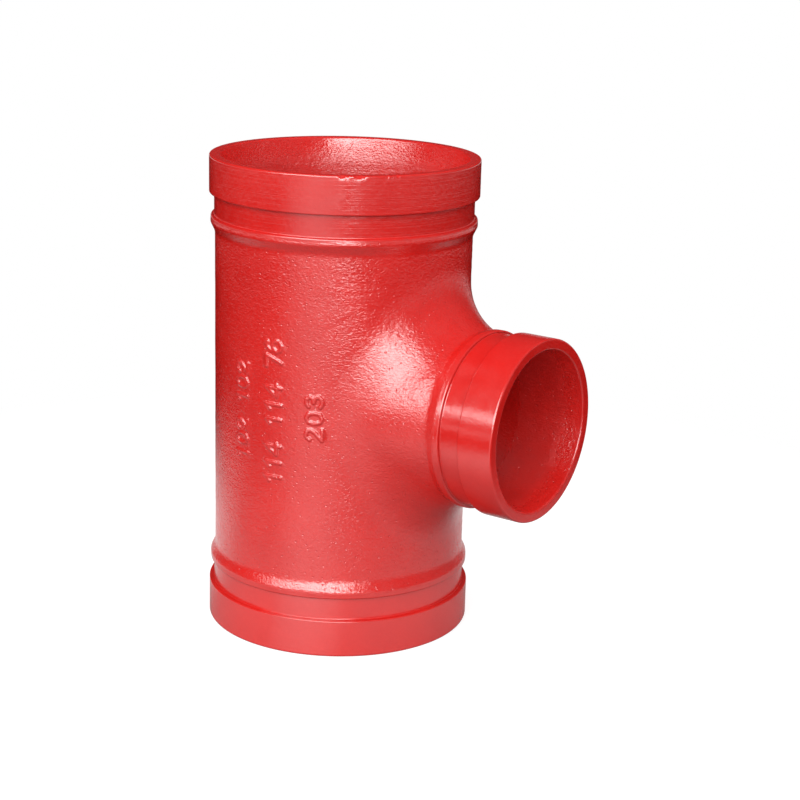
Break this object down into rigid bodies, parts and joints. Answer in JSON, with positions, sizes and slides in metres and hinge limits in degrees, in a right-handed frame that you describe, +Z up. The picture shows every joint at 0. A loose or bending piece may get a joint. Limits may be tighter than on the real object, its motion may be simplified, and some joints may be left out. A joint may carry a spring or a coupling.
{
  "type": "grooved reducing tee",
  "caption": "Cast pipe tee with a straight run and a smaller side branch, each end turned with a coupling groove and a raised bead behind it.",
  "frame": {"origin": "the point where the axes of run and branch cross", "axes": "+Z up along the run, which stands on its lower end; +X along the branch, towards its open end"},
  "size_m": [0.1587, 0.1142, 0.2032],
  "materials": {
    "paint": "gloss"
  },
  "bodies": {
    "root": {"tee_body": "paint"}
  },
  "joints": []
}
